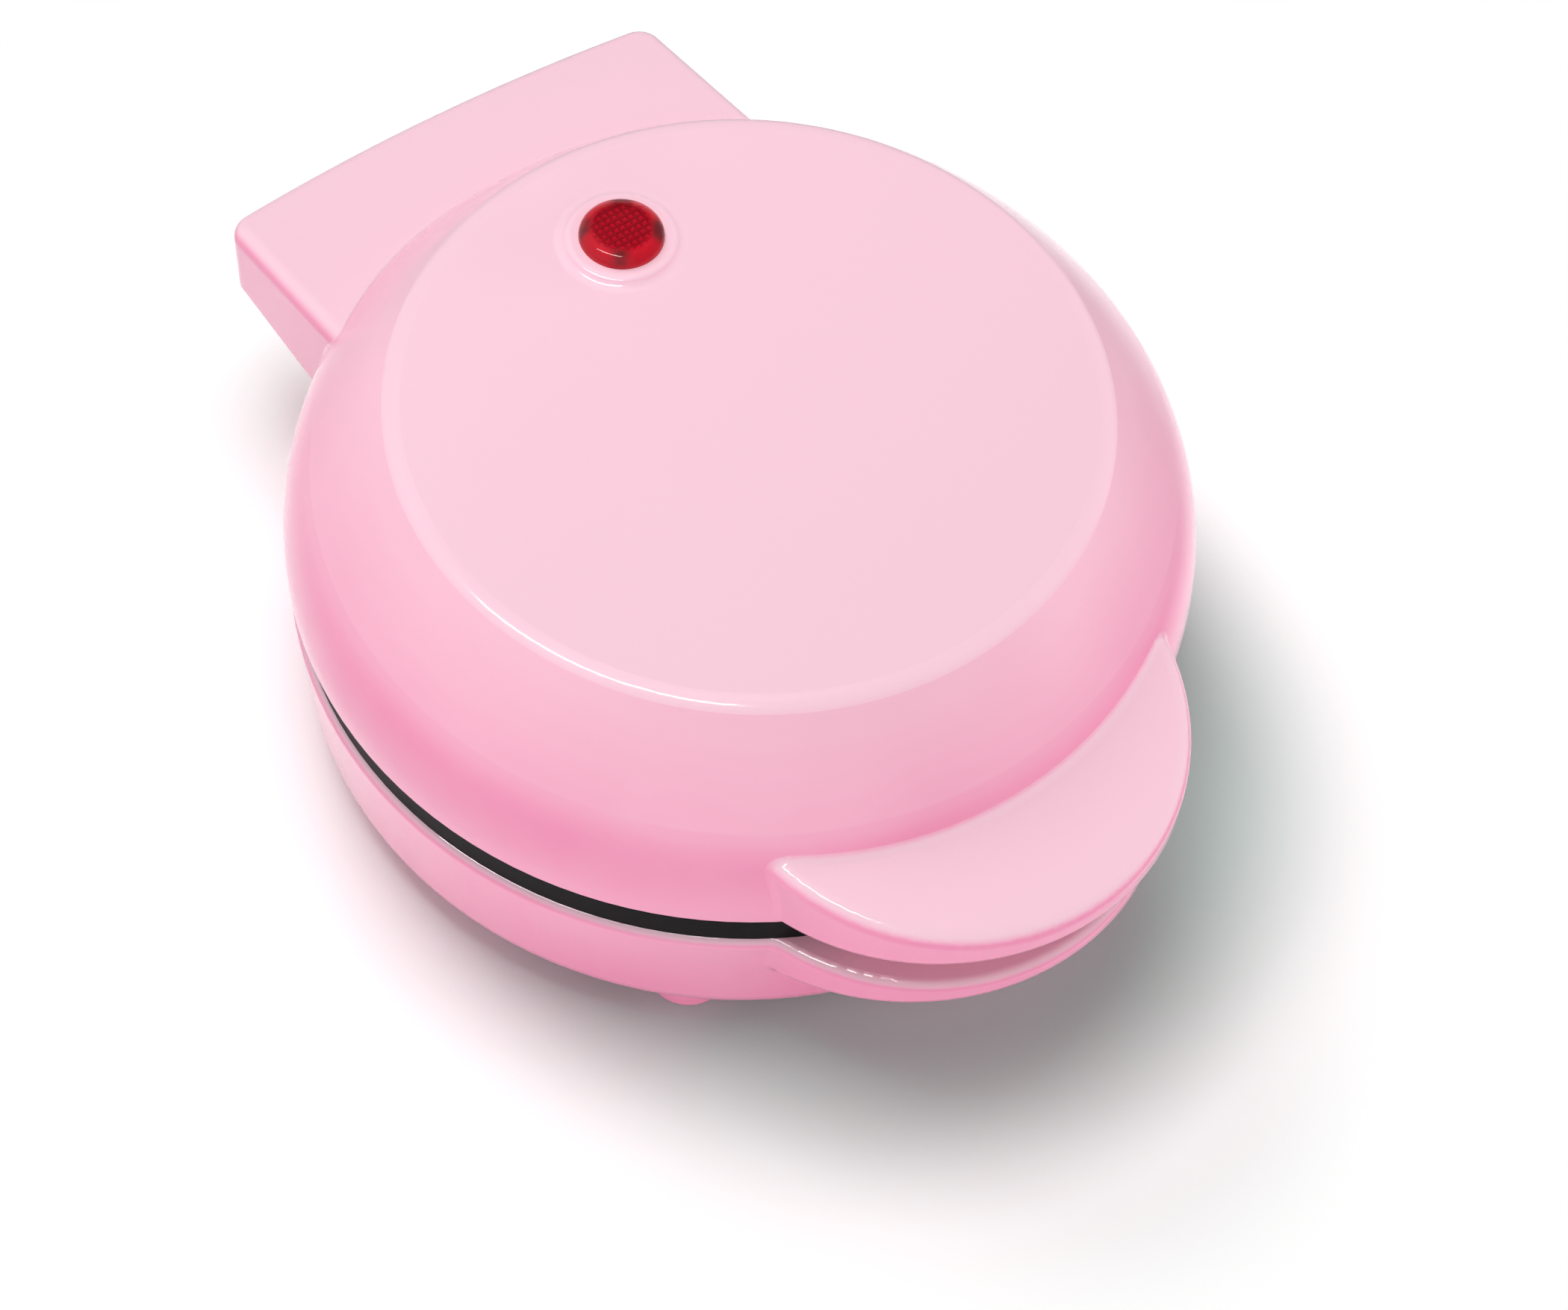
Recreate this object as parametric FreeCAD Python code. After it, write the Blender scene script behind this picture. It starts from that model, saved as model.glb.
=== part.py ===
import FreeCAD, Part
import math
import os
from FreeCAD import Vector as V

# Outside sizes, in millimetres: front is -Y, the hinge is at +Y, the table is Z 0
outer_d = 152.4
reach = 18.8
base_h = 31.8
seam = 8.2
lid_h = 35.1
wall = 2.2
outer_r = outer_d / 2
half_depth = outer_r + reach
lid_z = base_h + seam
top_z = lid_z + lid_h

# Lid outline: a flaring band, a soft crease and a sloping shoulder up to a flat disc
band_drop = 0.9
band_h = 8.6
crease_drop = 5.3
crease_h = 18.4
disc_drop = 18.6
disc_round = 4.0
disc_r = outer_r - disc_drop

# Base bowl and its four moulded feet, each with a screw up its middle
rim_drop = 0.2
bowl_taper = 2.1
bowl_round = 7.0
rim_round = 1.8
foot_h = 4.0
foot_r = 7.0
foot_inset = 11.6
foot_angle = 49.0
rim_r = outer_r - rim_drop
floor_z = foot_h + wall

# Handle tabs, one on the lid and one on the base, with a finger gap between them
tab_r = 40.0
tab_root_h = 14.0
tab_tip_h = 10.6
tab_under_tip = 5.2
tab_round = 2.6
tab_edge = 1.2
tab_blend = 2.0
low_tab_r = 41.0
low_tab_inset = 3.0
low_tab_tip = 4.7
low_tab_root = 10.0
low_tab_round = 2.2
low_tab_blend = 3.0

# Hinge hood on the back of the lid
hood_w = 87.6
hood_reach = 20.8
hood_bow = 3.0
hood_corner = 4.5
hood_rear_h = 9.6
hood_slope = 0.21
hood_skirt = 4.1
hood_round = 3.0
hood_clear = 0.6
hood_blend = 1.0
hood_back = outer_r + hood_reach

# Cooking plates, measured away from the plane where they meet
meet_drop = 0.3
plate_gap = 0.4
plate_inset = 10.2
flange_t = 2.8
flange_w = 6.5
pocket_depth = 8.1
floor_t = 2.8
rib_pitch = 19.0
rib_h = 5.8
rib_base = 6.0
rib_top = 3.2
meet_z = lid_z - meet_drop
face_d = plate_gap / 2
floor_d = face_d + pocket_depth
back_d = floor_d + floor_t
plate_r = outer_r - plate_inset
pocket_r = plate_r - flange_w

# Bezel rings round the plates, and the screws that hold the upper one
bezel_slack = 1.0
low_bezel_slack = 0.6
bezel_fit = 0.4
bezel_grip = 3.5
bezel_w = 4.0
bezel_t = 7.6
low_bezel_t = 9.5
brim_reach = 1.5
brim_lift = 0.15
brim_fit = 0.3
lip_t = 3.3
bezel_round = 2.4
bezel_r = outer_r - wall - bezel_slack
low_bezel_r = outer_r - wall - low_bezel_slack
brim_r = low_bezel_r + brim_reach
bezel_lip = plate_r - bezel_grip
bezel_step = bezel_r - bezel_w
bezel_screw_r = (plate_r + bezel_fit + bezel_r) / 2
bezel_screw_angles = (40, 140, 220, 320)
lip_d = face_d + flange_t
lip_back = lip_d + lip_t

# Heating tubes and the plates' bosses
tube_r = 3.2
tube_inset = 17.5
tube_bend = 7.0
leg_spread = 44.0
strap_t = 0.8
strap_half = 4.0
strap_fit = 0.11
boss_r = 4.0
boss_inset = 6.5
boss_angles = (30, 150, 270)
tube_d = back_d + tube_r + 0.05
tube_ring_r = pocket_r - tube_inset
boss_ring_r = pocket_r - boss_inset

# Heat shields behind the tubes, which clamp the bezels' lips
shield_t = 0.8
shield_room = 3.25
shield_fit = 0.1
leg_out = 1.8
shield_depth = tube_d + tube_r + shield_room
shield_wall_r = bezel_lip - shield_fit
shield_flange_r = bezel_step - 1.0
tube_leg = shield_depth + leg_out
tray_low = meet_z - shield_depth - shield_t
tray_z = meet_z + shield_depth + shield_t

# Studs that stand on the feet inside the bowl, below the lower shield, and carry the lower bezel
stud_r = 5.0
stud_gap = 2.7
stud_grip = 7.0
stud_top = tray_low - stud_gap

# Hinge: two short steel pins, held in the hood's ribs and running in the base's arms
pin_d = 4.0
pin_inset = 9.0
pin_run = 0.05
pin_seat = 0.02
pin_len = 22.0
arm_in = 14.5
arm_out = 28.5
arm_gap = 0.5
arm_wall = 2.3
rib_t = 4.5
pin_r = pin_d / 2
pin_y = half_depth - pin_inset
pin_z = meet_z
arm_r = pin_r + arm_wall

# Tail on the back of the base, with the cord inlet
tail_reach = 3.3
tail_rise = 4.0
inlet_r = 3.4
gland_r = 5.0
gland_flange_r = 7.4
gland_rib = 1.0
tail_y = outer_r + tail_reach
tail_low = foot_h + tail_rise

# Indicator lamp on the lid
lens_inset = 20.2
lens_r = 7.1
lens_h = 3.0
stem_r = 6.5
stem_wall = 1.3
stem_rise = 4.8
collar_foot_r = 11.2
collar_h = 1.3
collar_turn = 48.0
collar_blend = 2.5
lamp_r = 2.6
lens_y = disc_r - lens_inset

# Screws: shank radius, head radius and head height, with a small clearance in their holes
case_screw = (1.5, 2.8, 2.0)
plate_screw = (1.25, 2.4, 1.5)
screw_fit = 0.02
screw_pass = 0.2
UP = V(0, 0, 1)


def ring_spots(r, angles):
    return [(r * math.cos(math.radians(a)), r * math.sin(math.radians(a))) for a in angles]


foot_spots = ring_spots(outer_r - foot_inset, (foot_angle, 180 - foot_angle, 180 + foot_angle, -foot_angle))
bezel_spots = ring_spots(bezel_screw_r, bezel_screw_angles)


def cyl(r, z0, z1, x=0.0, y=0.0):
    return Part.makeCylinder(r, z1 - z0, V(x, y, z0), UP)


def cyl_x(r, x0, x1, y, z):
    return Part.makeCylinder(r, x1 - x0, V(x0, y, z), V(1, 0, 0))


def cyl_y(r, y0, y1, x, z):
    return Part.makeCylinder(r, y1 - y0, V(x, y0, z), V(0, 1, 0))


def box(x0, x1, y0, y1, z0, z1):
    return Part.makeBox(x1 - x0, y1 - y0, z1 - z0, V(x0, y0, z0))


def turned(points, x=0.0, y=0.0):
    # A solid of revolution about the vertical through x, y, from (radius, height) points
    path = [V(x + r, y, z) for r, z in points]
    face = Part.Face(Part.makePolygon(path + [path[0]]))
    return face.revolve(V(x, y, 0), UP, 360)


def prism_x(points, x0, x1):
    # A solid along X, from (y, z) points
    path = [V(x0, y, z) for y, z in points]
    return Part.Face(Part.makePolygon(path + [path[0]])).extrude(V(x1 - x0, 0, 0))


def fuse(shapes):
    whole = shapes[0]
    for shape in shapes[1:]:
        whole = whole.fuse(shape)
    return whole.removeSplitter()


def cut(shape, tools):
    for tool in tools:
        shape = shape.cut(tool)
    return shape.removeSplitter()


def both_sides(shape):
    return [shape, shape.mirror(V(0, 0, 0), V(1, 0, 0))]


def around(shape, angles):
    spun = []
    for angle in angles:
        one = shape.copy()
        one.rotate(V(0, 0, 0), UP, angle)
        spun.append(one)
    return spun


def circles_at(shape, z, r):
    # The round edges of a turned solid at one height and radius
    return [e for e in shape.Edges if isinstance(e.Curve, Part.Circle)
            and abs(e.Curve.Center.z - z) < 0.01 and abs(e.Curve.Radius - r) < 0.01]


def tube(points, r, bend):
    # A round lead along straight runs that are joined by tangent arcs
    spots = [V(*p) for p in points]
    edges = []
    here = spots[0]
    for before, at, after in zip(spots, spots[1:], spots[2:]):
        come = (at - before).normalize()
        go = (after - at).normalize()
        turn = come.getAngle(go)
        back = bend * math.tan(turn / 2)
        inward = (go - come).normalize()
        start = at - come * back
        end = at + go * back
        middle = at + inward * (bend / math.cos(turn / 2) - bend)
        edges.append(Part.LineSegment(here, start).toShape())
        edges.append(Part.Arc(start, middle, end).toShape())
        here = end
    edges.append(Part.LineSegment(here, spots[-1]).toShape())
    ring = Part.Wire(Part.makeCircle(r, spots[0], (spots[1] - spots[0]).normalize()))
    return Part.Wire(edges).makePipeShell([ring], True, False)


def screw(size, length, head_at_z, x=0.0, y=0.0):
    # Shank upward from the head's upper face, which is at head_at_z, with a cross recess below
    shank_r, head_r, head_t = size
    body = fuse([cyl(shank_r, head_at_z - 0.2, head_at_z + length, x, y),
                 cyl(head_r, head_at_z - head_t, head_at_z, x, y)])
    slot = head_r * 0.62
    low = head_at_z - head_t
    cross = [box(x - slot, x + slot, y - 0.4, y + 0.4, low - 1, low + head_t * 0.55),
             box(x - 0.4, x + 0.4, y - slot, y + slot, low - 1, low + head_t * 0.55)]
    return cut(body, cross)


def lower(shape):
    # Put a piece, drawn by its depth from the meeting plane, in the base
    turned_over = shape.mirror(V(0, 0, 0), UP)
    turned_over.translate(V(0, 0, meet_z))
    return turned_over


def upper(shape):
    # Put a piece, drawn by its depth from the meeting plane, in the lid
    placed = shape.copy()
    placed.translate(V(0, 0, meet_z))
    return placed


def lid_form(inset):
    # The lid as one solid, drawn in by a wall thickness where the inside is wanted
    low = V(outer_r - inset, 0, lid_z - (1 if inset else 0))
    band = V(outer_r - band_drop - inset, 0, lid_z + band_h)
    crease = V(outer_r - crease_drop - inset * 0.82, 0, lid_z + crease_h - inset * 0.57)
    edge = V(disc_r - inset * 0.47, 0, top_z - inset)
    hub = V(0, 0, top_z - inset)
    foot = V(0, 0, low.z)
    flare = Part.Arc(low, band, crease)
    shoulder = Part.makeLine(crease, edge)
    if inset == 0:
        # The shoulder bows out a little, so that it leaves the flaring band with no ridge
        run = edge - crease
        bow = run.getAngle(flare.tangent(flare.LastParameter)[0])
        swell = V(run.z, 0, -run.x) * (0.5 * math.tan(bow / 2))
        shoulder = Part.Arc(crease, crease + run * 0.5 + swell, edge).toShape()
    outline = Part.Wire([flare.toShape(), shoulder, Part.makeLine(edge, hub), Part.makeLine(hub, foot),
                         Part.makeLine(foot, low)])
    form = Part.Face(outline).revolve(V(0, 0, 0), UP, 360)
    if inset == 0:
        form = form.makeFillet(disc_round, circles_at(form, edge.z, edge.x))
    return form


def tab_form(inset, front, r, top, under):
    # A round handle tab between two planes, each given by its heights at the root and at the tip;
    # the root is just inside the corner where the tab's circle meets the lid's
    centre_y = -(front - r)
    tip_y = -front
    corner_y = (outer_r ** 2 + centre_y ** 2 - r ** 2) / (2 * centre_y)
    root_y = corner_y + 0.25
    disc = cyl(r - inset, under[0] - 20, top[0] + 20, 0, centre_y)
    steep_top = (top[1] - top[0]) / (tip_y - root_y)
    steep_under = (under[1] - under[0]) / (tip_y - root_y)
    far = tip_y - 1
    top_line = [(y, top[0] + steep_top * (y - root_y) - inset) for y in (far, root_y, 0)]
    under_line = [(y, under[0] + steep_under * (min(y, root_y) - root_y) + inset)
                  for y in (0, root_y, far)]
    return disc.common(prism_x(top_line + under_line, -outer_r, outer_r))


def rim_edges(shape, highest):
    # The closed upper or lower edge of a handle tab, leaving out its seam
    loops = [e for e in shape.Edges if not isinstance(e.Curve, Part.Line)]
    top = max(e.CenterOfMass.z for e in loops)
    low = min(e.CenterOfMass.z for e in loops)
    return [e for e in loops if (e.CenterOfMass.z > (top + low) / 2) == highest]


def soften(shape, r, side):
    # Round the inside corner where a tab (side -1) or the hood (side 1) grows out of the turned wall
    corner = []
    for edge in shape.Edges:
        walls = []
        for face in shape.ancestorsOfType(edge, Part.Face):
            kind = face.Surface
            bowed = isinstance(kind, Part.Toroid) and kind.MinorRadius > outer_r / 4
            walls.append(bowed or isinstance(kind, (Part.Cone, Part.SurfaceOfRevolution)))
        off_rim = min(abs(edge.BoundBox.ZMax - z) for z in (lid_z, base_h)) > 0.2
        if walls.count(True) == 1 and off_rim and edge.CenterOfMass.y * side > outer_r / 2:
            corner.append(edge)
    return shape.makeFillet(r, corner)


def hood_form(inset):
    # The hood's plan, bowed at the back with round corners, under a sloping top
    half = hood_w / 2 - inset
    back = hood_back - inset
    corner = max(hood_corner - inset, 1.0)
    start_y = outer_r * 0.55
    side = back - hood_bow
    plan = Part.Wire([Part.makeLine(V(-half, start_y, 0), V(-half, side, 0)),
                      Part.Arc(V(-half, side, 0), V(0, back, 0), V(half, side, 0)).toShape(),
                      Part.makeLine(V(half, side, 0), V(half, start_y, 0)),
                      Part.makeLine(V(half, start_y, 0), V(-half, start_y, 0))])
    block = Part.Face(plan).extrude(V(0, 0, 60))
    block.translate(V(0, 0, lid_z - hood_skirt - (1 if inset else 0)))
    posts = [e for e in block.Edges if e.BoundBox.ZLength > 50 and e.CenterOfMass.y > start_y + 1]
    block = block.makeFillet(corner, posts)
    near_z = lid_z + hood_rear_h + hood_slope * half_depth - inset
    far_y = hood_back + 10
    far_z = near_z - hood_slope * far_y
    above = prism_x([(0, near_z), (far_y, far_z), (far_y, 200), (0, 200)], -outer_r, outer_r)
    block = block.cut(above)
    if inset == 0:
        lips = [e for e in block.Edges if e.CenterOfMass.z > lid_z + hood_rear_h - 2
                and e.BoundBox.ZLength < 12 and e.CenterOfMass.y > start_y + 1]
        block = block.makeFillet(hood_round, lips)
    return block


def collar_form():
    # The raised ring round the lens: a hollow sweep up from the disc, then a round crest
    turn = math.radians(collar_turn)
    crest = collar_h / (1 - math.cos(turn)) - collar_blend
    crest_r = collar_foot_r - (collar_blend + crest) * math.sin(turn)
    seat = top_z + collar_h

    def spot(r, z):
        return V(r, lens_y, z)

    def sweep_up(part):
        return spot(collar_foot_r - collar_blend * math.sin(turn * part),
                    top_z + collar_blend * (1 - math.cos(turn * part)))

    def round_over(part):
        return spot(crest_r + crest * math.sin(turn * part), seat - crest * (1 - math.cos(turn * part)))

    rise = Part.Arc(sweep_up(0), sweep_up(0.5), sweep_up(1)).toShape()
    top = Part.Arc(sweep_up(1), round_over(0.5), round_over(0)).toShape()
    sides = [sweep_up(0), spot(collar_foot_r, top_z - 1), spot(stem_r, top_z - 1), spot(stem_r, seat), round_over(0)]
    outline = Part.Wire([rise, top] + [Part.makeLine(a, b) for a, b in zip(sides[::-1], sides[-2::-1])])
    return Part.Face(outline).revolve(V(0, lens_y, 0), UP, 360)


# Lid shell: pink moulding with its handle tab, hinge hood, lamp collar and screw bosses
lid_solid = lid_form(0)
lid_hollow = lid_form(wall)
tab_top = (lid_z + tab_root_h, lid_z + tab_tip_h)
tab_under = (lid_z, lid_z + tab_under_tip)
top_tab = tab_form(0, half_depth, tab_r, tab_top, tab_under)
top_tab = top_tab.makeFillet(tab_round, rim_edges(top_tab, True))
top_tab = top_tab.makeFillet(tab_edge, rim_edges(top_tab, False))
tab_hollow = tab_form(wall, half_depth, tab_r, tab_top, tab_under).cut(cyl(outer_r * 0.8, 0, 100))
hood = hood_form(0).cut(cyl(outer_r + hood_clear, 0, lid_z))
hood_hollow = hood_form(wall).cut(lid_form(-0.4))
collar = collar_form()
bezel_back = meet_z + face_d + bezel_t
bosses = [cyl(3.2, bezel_back, bezel_back + 14, x, y).common(lid_solid) for x, y in bezel_spots]
rib_in = arm_out + arm_gap
rib_y = (pin_y - 6, hood_back - hood_bow - wall / 2)
rib_top_z = lid_z + hood_rear_h + hood_slope * (half_depth - rib_y[1]) - wall / 2
pin_rib = box(rib_in, rib_in + rib_t, rib_y[0], rib_y[1], lid_z - hood_skirt, rib_top_z)
lid_shell = soften(soften(fuse([lid_solid, top_tab, hood]), tab_blend, -1), hood_blend, 1)
lid_shell = cut(fuse([lid_shell, collar]), [lid_hollow, tab_hollow, hood_hollow])
lid_shell = fuse([lid_shell] + bosses + both_sides(pin_rib))
lead_window = box(-9, 9, outer_r * 0.8, outer_r + 4, lid_z + 5, lid_z + 11)
lid_holes = [cyl(stem_r + 0.1, top_z - 10, top_z + 10, 0, lens_y), lead_window]
lid_holes += [cyl(case_screw[0] + screw_fit, bezel_back - 1, bezel_back + 9, x, y) for x, y in bezel_spots]
lid_holes += both_sides(cyl_x(pin_r + pin_seat, rib_in - 1, rib_in + rib_t + 1, pin_y, pin_z))
lid_shell = cut(lid_shell, lid_holes)

# Base shell: pink bowl on four feet, with the lower tab, the hinge arms and the cord tail
bowl = turned([(0, foot_h), (rim_r - bowl_taper, foot_h), (rim_r, base_h), (0, base_h)])
bowl = bowl.makeFillet(bowl_round, circles_at(bowl, foot_h, rim_r - bowl_taper))
inside = turned([(0, floor_z), (rim_r - bowl_taper - wall, floor_z),
                 (rim_r - wall, base_h), (rim_r - wall, base_h + 5), (0, base_h + 5)])
inside = inside.makeFillet(bowl_round - wall, circles_at(inside, floor_z, rim_r - bowl_taper - wall))
low_top = (base_h, base_h)
low_under = (base_h - low_tab_root, base_h - low_tab_tip)
low_front = half_depth - low_tab_inset
low_tab = tab_form(0, low_front, low_tab_r, low_top, low_under)
low_tab = low_tab.makeFillet(low_tab_round, rim_edges(low_tab, False))
low_hollow = tab_form(wall * 0.8, low_front, low_tab_r, low_top, low_under).cut(cyl(outer_r * 0.8, 0, 100))
tail = box(-arm_out, arm_out, outer_r * 0.85, tail_y, tail_low, pin_z - arm_r)
tail = tail.makeFillet(2.0, [e for e in tail.Edges if e.CenterOfMass.y > tail_y - 0.1])
arm_back = pin_y - 8.8
arm_low = pin_z - arm_r + 0.5
arm_top = pin_z + arm_r - 1.1
arm = prism_x([(arm_back, base_h - 4), (tail_y - 1, base_h - 4), (tail_y - 1, arm_low), (pin_y, arm_low),
               (pin_y, arm_top), (arm_back + 2, arm_top), (arm_back, arm_top - 2)], arm_in, arm_out)
arm = arm.fuse(cyl_x(arm_r, arm_in, arm_out, pin_y, pin_z))
feet = []
for x, y in foot_spots:
    foot = cyl(foot_r, 0, floor_z, x, y)
    feet.append(foot.makeFillet(1.0, circles_at(foot, 0, foot_r)))
studs = [cyl(stud_r, foot_h + 1, stud_top, x, y) for x, y in foot_spots]
ledge_z = meet_z - face_d - low_bezel_t
ledge_in = bezel_r - 2.2
ledge_low = ledge_z - wall
ledge = turned([(ledge_in, ledge_low), (rim_r - 1, ledge_low), (rim_r - 1, ledge_z), (ledge_in, ledge_z)])
base_shell = fuse([bowl, low_tab])
corner = [e for e in base_shell.Edges if e.BoundBox.ZLength > 0.3 and e.CenterOfMass.y < -outer_r / 2
          and [isinstance(f.Surface, Part.Cone) for f in base_shell.ancestorsOfType(e, Part.Face)].count(True) == 1]
base_shell = base_shell.makeFillet(low_tab_blend, corner)
base_shell = base_shell.makeFillet(rim_round, [e for e in base_shell.Edges if e.BoundBox.ZMin > base_h - 0.01])
base_shell = fuse([base_shell, tail] + feet)
room_low = tail_low + wall
room_top = ledge_low - 0.3
inlet_z = (room_low + room_top) / 2
tail_room = box(-arm_out + 4, arm_out - 4, outer_r * 0.85, tail_y - wall, room_low, room_top)
brim_way = cyl(brim_r + brim_fit, base_h, pin_z)
base_shell = cut(base_shell, [inside, low_hollow, tail_room, brim_way])
base_shell = fuse([base_shell, ledge] + studs + both_sides(arm))
base_holes = both_sides(cyl_x(pin_r + pin_run, arm_in - 1, arm_out + 1, pin_y, pin_z))
base_holes.append(cyl_y(gland_r + 0.05, tail_y - 8, tail_y + 1, 0, inlet_z))
for x, y in foot_spots:
    base_holes.append(cyl(case_screw[1] + 0.5, -1, foot_h + 1, x, y))
    base_holes.append(cyl(case_screw[0] + screw_pass, 0, stud_top + 1, x, y))
base_shell = cut(base_shell, base_holes)

# Waffle plates: cast aluminium, a round pocket crossed by square ribs, three bosses behind
dish = turned([(0, floor_d), (pocket_r - 1, floor_d), (pocket_r, face_d), (plate_r, face_d),
               (plate_r, face_d + flange_t), (bezel_lip - 0.5, face_d + flange_t),
               (bezel_lip - 1.2, back_d), (0, back_d)])
half_ribs = [rib_pitch * (n + 0.5) for n in range(int(pocket_r / rib_pitch))]
top_d = floor_d - rib_h
bars = []
for spot in half_ribs:
    for y in (spot, -spot):
        bar = prism_x([(y - rib_base / 2, floor_d + 0.5), (y - rib_top / 2, top_d),
                       (y + rib_top / 2, top_d), (y + rib_base / 2, floor_d + 0.5)], -pocket_r, pocket_r)
        bars.append(bar)
        bars += around(bar, [90])
well = turned([(0, 0), (pocket_r - 0.2, 0), (pocket_r - 0.9, floor_d + 1), (0, floor_d + 1)])
grid = fuse(bars).common(well)
plate_bosses = around(cyl(boss_r, back_d - 0.5, shield_depth, boss_ring_r, 0), boss_angles)
pilot = cyl(plate_screw[0] + screw_fit, back_d + 1, shield_depth + 1, boss_ring_r, 0)
boss_holes = around(pilot, boss_angles)
plate = cut(fuse([dish, grid] + plate_bosses), boss_holes)
lower_plate = lower(plate)
stat_spots = (-11.5, 11.5)
stat_holes = [cyl(plate_screw[0] + screw_fit, back_d - 2.2, back_d + 1, x, 0) for x in stat_spots]
upper_plate = upper(cut(plate, stat_holes))

# Bezel rings: black heat-proof plastic round each plate, the lower one standing in the seam
ring_in = plate_r + bezel_fit


def bezel_ring(r, t):
    back = face_d + t
    step = r - bezel_w
    return turned([(bezel_lip, lip_d), (ring_in, lip_d), (ring_in, face_d), (r, face_d), (r, back),
                   (step, back), (step, lip_back), (bezel_lip, lip_back)])


post_r = 3.6
brim_d = meet_z - base_h - brim_lift
brim_in = low_bezel_r - bezel_w / 2
brim = turned([(brim_in, face_d), (brim_r, face_d), (brim_r, brim_d), (brim_in, brim_d)])
low_ring = fuse([bezel_ring(low_bezel_r, low_bezel_t), brim])
low_ring = low_ring.makeFillet(bezel_round, circles_at(low_ring, face_d, brim_r))
post_end = meet_z - stud_top
posts = [cyl(post_r, lip_back - 0.5, post_end, x, y) for x, y in foot_spots]
pilot_end = post_end - stud_grip - 2
post_cuts = [cyl(case_screw[0] + screw_fit, pilot_end, meet_z, x, y) for x, y in foot_spots]
post_cuts.append(cyl(bezel_lip, lip_back - 1, back_d + 0.8))
lower_bezel = lower(cut(fuse([low_ring] + posts), post_cuts))
high_ring = bezel_ring(bezel_r, bezel_t)
high_ring = high_ring.makeFillet(1.0, circles_at(high_ring, face_d, bezel_r))
head_d = 3.2
ring_holes = [cyl(case_screw[0] + screw_pass, 0, bezel_t + 1, x, y) for x, y in bezel_spots]
ring_holes += [cyl(case_screw[1] + screw_pass, 0, head_d, x, y) for x, y in bezel_spots]
upper_bezel = upper(cut(high_ring, ring_holes))

# Heat shields: pressed steel trays that clamp the bezel's lip against the plate
wall_out = shield_wall_r + shield_t
tray_back = shield_depth + shield_t
tray = turned([(0, shield_depth), (shield_wall_r, shield_depth), (shield_wall_r, lip_back),
               (shield_flange_r, lip_back), (shield_flange_r, lip_back + shield_t),
               (wall_out, lip_back + shield_t), (wall_out, tray_back), (0, tray_back)])
half_gap = math.radians(leg_spread / 2)
end_x = tube_ring_r * math.sin(half_gap) - tube_bend * math.cos(half_gap)
end_y = -tube_ring_r * math.cos(half_gap) - tube_bend * math.sin(half_gap)
tray_holes = [cyl(tube_r + 1.2, shield_depth - 1, shield_depth + 2, x, end_y) for x in (end_x, -end_x)]
screw_way = cyl(plate_screw[0] + screw_pass, shield_depth - 1, shield_depth + 2, boss_ring_r, 0)
tray_holes += around(screw_way, boss_angles)
tray = cut(tray, tray_holes)
notches = [cyl(post_r + 0.8, lip_back - 1, shield_depth + 2, x, y) for x, y in foot_spots]
lower_heat_shield = lower(cut(tray, notches))
upper_heat_shield = upper(cut(tray, [cyl(13.5, shield_depth - 1, shield_depth + 2)]))

# Heating tubes: a steel-sheathed ring on the back of each plate, its two ends turned out as terminals
start = Part.Face(Part.Wire(Part.makeCircle(tube_r, V(tube_ring_r, 0, tube_d), V(0, 1, 0))))
ring_turn = 360 - leg_spread
loop = start.revolve(V(0, 0, 0), UP, ring_turn)
bend_in = start.revolve(V(0, 0, tube_d + tube_bend), V(1, 0, 0), -90)
end_leg = Part.Face(Part.Wire(Part.makeCircle(tube_r, V(tube_ring_r, -tube_bend, tube_d + tube_bend), UP)))
end_leg = end_leg.extrude(V(0, 0, tube_leg - tube_d - tube_bend))
first_end = bend_in.fuse(end_leg)
last_end = first_end.mirror(V(0, 0, 0), V(0, 1, 0))
last_end.rotate(V(0, 0, 0), UP, ring_turn)
heater = fuse([loop, first_end, last_end])
heater.rotate(V(0, 0, 0), UP, 270 + leg_spread / 2)
lower_element = lower(heater)
upper_element = upper(heater)

# Tube clips: pressed straps over each heating tube
strap_in = tube_r + strap_fit + strap_half ** 2 / (2 * tube_ring_r)
strap_out = strap_in + strap_t
low_x = tube_ring_r - strap_out
high_x = tube_ring_r + strap_out
hoop = fuse([cyl_y(strap_out, -strap_half, strap_half, tube_ring_r, tube_d),
             box(low_x, high_x, -strap_half, strap_half, back_d, tube_d),
             box(low_x - 5, high_x + 5, -strap_half, strap_half, back_d, back_d + strap_t)])
hoop = cut(hoop, [cyl_y(strap_in, -9, 9, tube_ring_r, tube_d), box(0, outer_r, -9, 9, back_d - 9, back_d),
                  box(low_x + strap_t, high_x - strap_t, -9, 9, back_d - 9, tube_d)])
clips = around(hoop, [90, 210, 330])
lower_element_clips = lower(Part.makeCompound(clips))
upper_element_clips = upper(Part.makeCompound(clips))

# Screws: through the shields into the plates, through the feet, and through the upper bezel
tray_screw = screw(plate_screw, 7.0, 0.0)
tray_screw.rotate(V(0, 0, 0), V(1, 0, 0), 180)
tray_screw.translate(V(boss_ring_r, 0, tray_back))
tray_screws = Part.makeCompound(around(tray_screw, boss_angles))
lower_plate_screws = lower(tray_screws)
upper_plate_screws = upper(tray_screws)
head_z = foot_h + 1
long_shank = stud_top + stud_grip - head_z
base_screws = Part.makeCompound([screw(case_screw, long_shank, head_z, x, y) for x, y in foot_spots])
bezel_screws = Part.makeCompound([screw(case_screw, 12.0, meet_z + head_d, x, y) for x, y in bezel_spots])

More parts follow.
